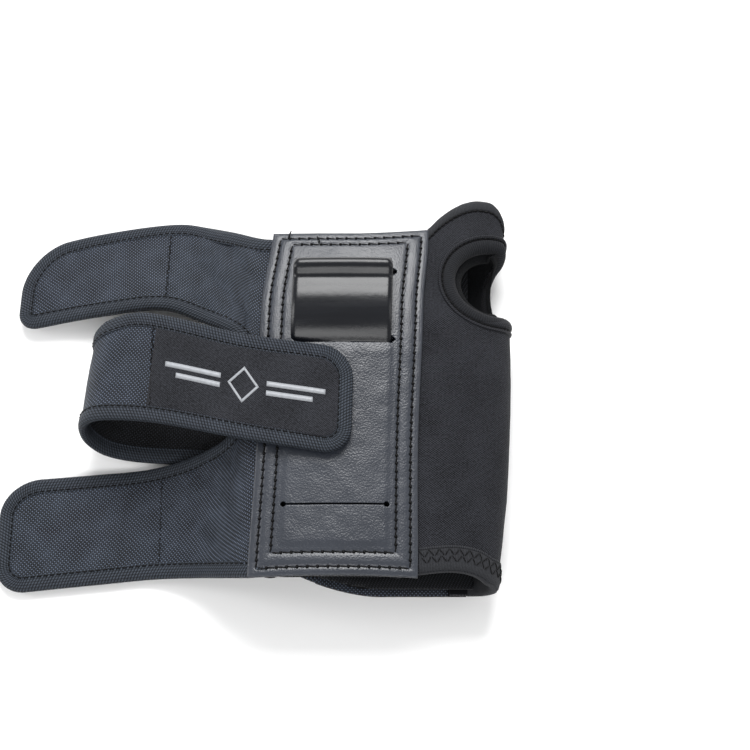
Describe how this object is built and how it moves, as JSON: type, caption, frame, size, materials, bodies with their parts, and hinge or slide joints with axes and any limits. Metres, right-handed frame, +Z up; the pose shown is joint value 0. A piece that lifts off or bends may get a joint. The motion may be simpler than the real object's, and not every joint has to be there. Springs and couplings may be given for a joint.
{
  "type": "wrist guard",
  "caption": "Wrap-round wrist guard lying palm up: padded sleeve with a thumb hole, bent slide plate on the palm, stiff back splint, and straps that fasten with hook and loop.",
  "frame": {"origin": "middle of the footprint, on the surface that the guard lies on", "axes": "+X from the little-finger side to the thumb side, +Y from the forearm to the fingers, +Z up out of the palm"},
  "size_m": [0.2132, 0.1704, 0.0425],
  "materials": {
    "loop_pile": "brushed loop pile",
    "nylon_cloth": "coarse plain weave",
    "splint_plastic": "satin",
    "foam": "closed-cell foam",
    "lining": "brushed knit",
    "stretch_cloth": "fine knit over foam rubber",
    "edge_tape": "ribbed woven tape",
    "leather": "fine grain, semi-gloss",
    "plate_plastic": "moulded, semi-gloss",
    "hook_tape": "hook tape",
    "label_cloth": "smooth knit with a plain printed emblem"
  },
  "bodies": {
    "back_half": {"back_loop_pile": "loop_pile", "back_panel_shell": "nylon_cloth", "back_foam_pad": "foam", "back_lining": "lining", "sleeve_back_half": "stretch_cloth", "thumb_hole_tape_back": "edge_tape", "sleeve_hem_back": "edge_tape", "sleeve_collar_back": "edge_tape", "middle_strap_base_web": "nylon_cloth", "middle_strap_base_far_tape": "edge_tape", "middle_strap_base_near_tape": "edge_tape"},
    "back_splint": {"back_splint": "splint_plastic"},
    "palm_half": {"sleeve_palm_half": "stretch_cloth", "thumb_hole_tape_palm": "edge_tape", "sleeve_hem_palm": "edge_tape", "sleeve_collar_palm": "edge_tape", "palm_patch": "leather", "palm_plate": "plate_plastic", "palm_pocket_backing": "nylon_cloth", "palm_foam_pad": "foam", "palm_lining": "lining", "fork_panel": "nylon_cloth", "fork_far_tape": "edge_tape", "fork_gap_tape": "edge_tape", "fork_near_tape": "edge_tape"},
    "upper_strap": {"upper_strap_web": "nylon_cloth", "upper_strap_edge_tape": "edge_tape", "upper_strap_hook_patch": "hook_tape"},
    "lower_strap": {"lower_strap_web": "nylon_cloth", "lower_strap_edge_tape": "edge_tape", "lower_strap_hook_patch": "hook_tape"},
    "middle_strap_end": {"middle_strap_end_web": "nylon_cloth", "middle_strap_end_edge_tape": "edge_tape", "middle_strap_label": "label_cloth", "middle_strap_hook_patch": "hook_tape"}
  },
  "joints": [
    {"name": "middle_strap_peel", "type": "hinge", "parent": "back_half", "child": "middle_strap_end", "pos_m": [-0.07446, 0.00275, 0.019], "axis": [-0.1041, -0.9946, 0], "range_deg": [0, 150]},
    {"name": "sleeve_open", "type": "hinge", "parent": "back_half", "child": "palm_half", "pos_m": [0.10669, 0.00175, 0.017], "axis": [0, 1, 0], "range_deg": [0, 45]},
    {"name": "upper_strap_lift", "type": "hinge", "parent": "palm_half", "child": "upper_strap", "pos_m": [-0.02421, 0.05705, 0.0166], "axis": [0, 0.9688, -0.2479], "range_deg": [0, 130]},
    {"name": "lower_strap_lift", "type": "hinge", "parent": "palm_half", "child": "lower_strap", "pos_m": [-0.02421, -0.053, 0.0156], "axis": [0, 0.9983, 0.0587], "range_deg": [0, 130]},
    {"name": "back_splint_slide", "type": "slide", "parent": "back_half", "child": "back_splint", "axis": [0, -1, 0], "range_m": [0, 0.12]}
  ],
  "couplings": [
    {"joint": "sleeve_open", "follows": "middle_strap_peel", "ratio": 0.3}
  ]
}
